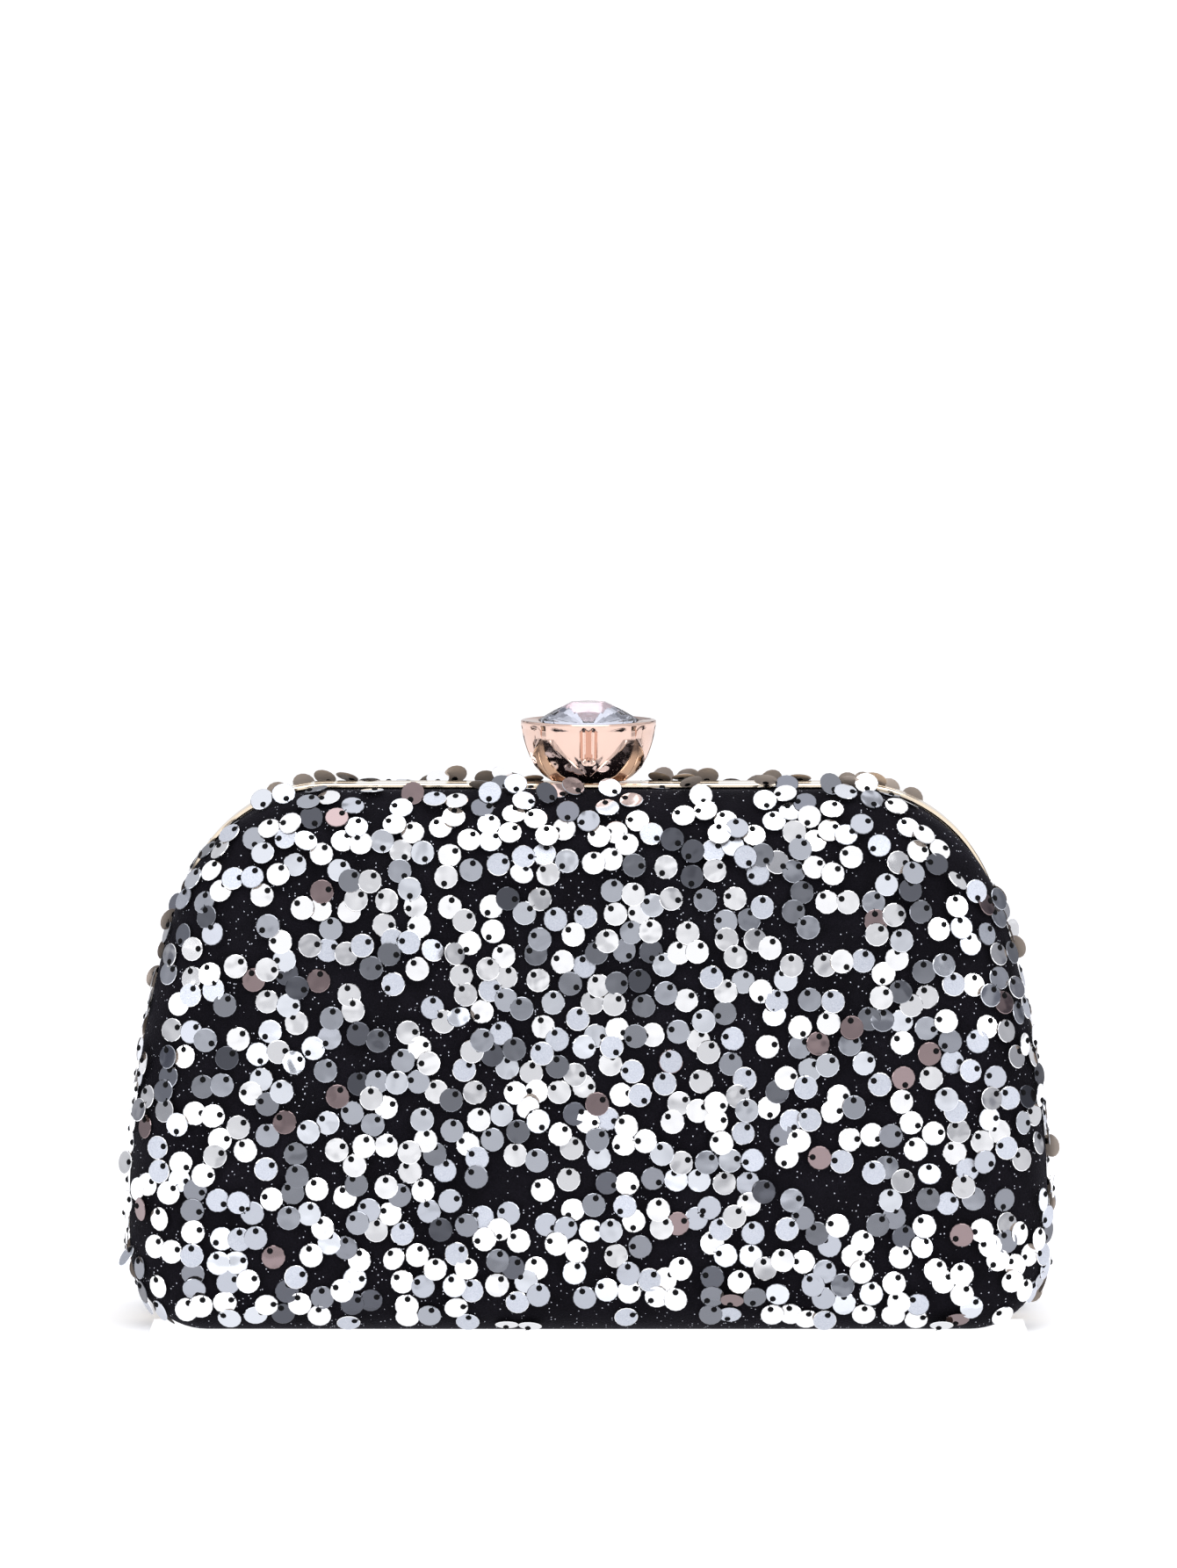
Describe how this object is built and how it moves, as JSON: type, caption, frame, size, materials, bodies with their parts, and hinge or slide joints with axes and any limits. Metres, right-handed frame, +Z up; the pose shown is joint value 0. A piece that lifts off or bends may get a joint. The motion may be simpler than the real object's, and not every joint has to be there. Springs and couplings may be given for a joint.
{
  "type": "evening bag",
  "caption": "Hard-shell clamshell evening clutch in black velvet with a slim metal frame, bottom hinges and a sliding clasp under a jewelled cup.",
  "frame": {"origin": "on the ground under the middle of the bag, where the two halves meet", "axes": "+Z up, the front of the bag faces -Y, +X to the right seen from the front"},
  "size_m": [0.1998, 0.052, 0.1343],
  "materials": {
    "black_velvet": "matte glitter velvet, sewn with loose mirror sequins",
    "foam": "open-cell foam",
    "shell_board": "moulded shell",
    "satin_lining": "satin",
    "pale_gold": "polished",
    "rose_gold": "mirror polished",
    "crystal": "faceted",
    "steel": "plain"
  },
  "bodies": {
    "back_half": {"back_foam_padding": "foam", "back_frame": "pale_gold", "back_hard_shell": "shell_board", "back_satin_lining": "satin_lining", "back_velvet_cover": "black_velvet", "latch_spring": "steel", "latch_spring_rivet": "steel", "left_hinge_back_leaf": "pale_gold", "left_hinge_back_rivet_1": "pale_gold", "left_hinge_back_rivet_2": "pale_gold", "left_hinge_pin": "steel", "lock_cover": "pale_gold", "lock_cover_rivet_1": "pale_gold", "lock_cover_rivet_2": "pale_gold", "right_hinge_back_leaf": "pale_gold", "right_hinge_back_rivet_1": "pale_gold", "right_hinge_back_rivet_2": "pale_gold", "right_hinge_pin": "steel"},
    "front_half": {"catch_stud": "steel", "front_foam_padding": "foam", "front_frame": "pale_gold", "front_hard_shell": "shell_board", "front_satin_lining": "satin_lining", "front_velvet_cover": "black_velvet", "left_hinge_front_leaf": "pale_gold", "left_hinge_front_rivet_1": "pale_gold", "left_hinge_front_rivet_2": "pale_gold", "right_hinge_front_leaf": "pale_gold", "right_hinge_front_rivet_1": "pale_gold", "right_hinge_front_rivet_2": "pale_gold"},
    "clasp": {"clasp_cup": "rose_gold", "clasp_crystal": "crystal", "clasp_post": "steel", "clasp_nut": "steel"}
  },
  "joints": [
    {"name": "bag_open", "type": "hinge", "parent": "back_half", "child": "front_half", "pos_m": [0, 0, 0.0016], "axis": [1, 0, 0], "range_deg": [0, 60]},
    {"name": "clasp_slide", "type": "slide", "parent": "back_half", "child": "clasp", "axis": [1, 0, 0], "range_m": [0, 0.0035], "stiffness_N_per_m": 600, "springref_m": -0.002, "deforming": ["latch_spring"]}
  ]
}
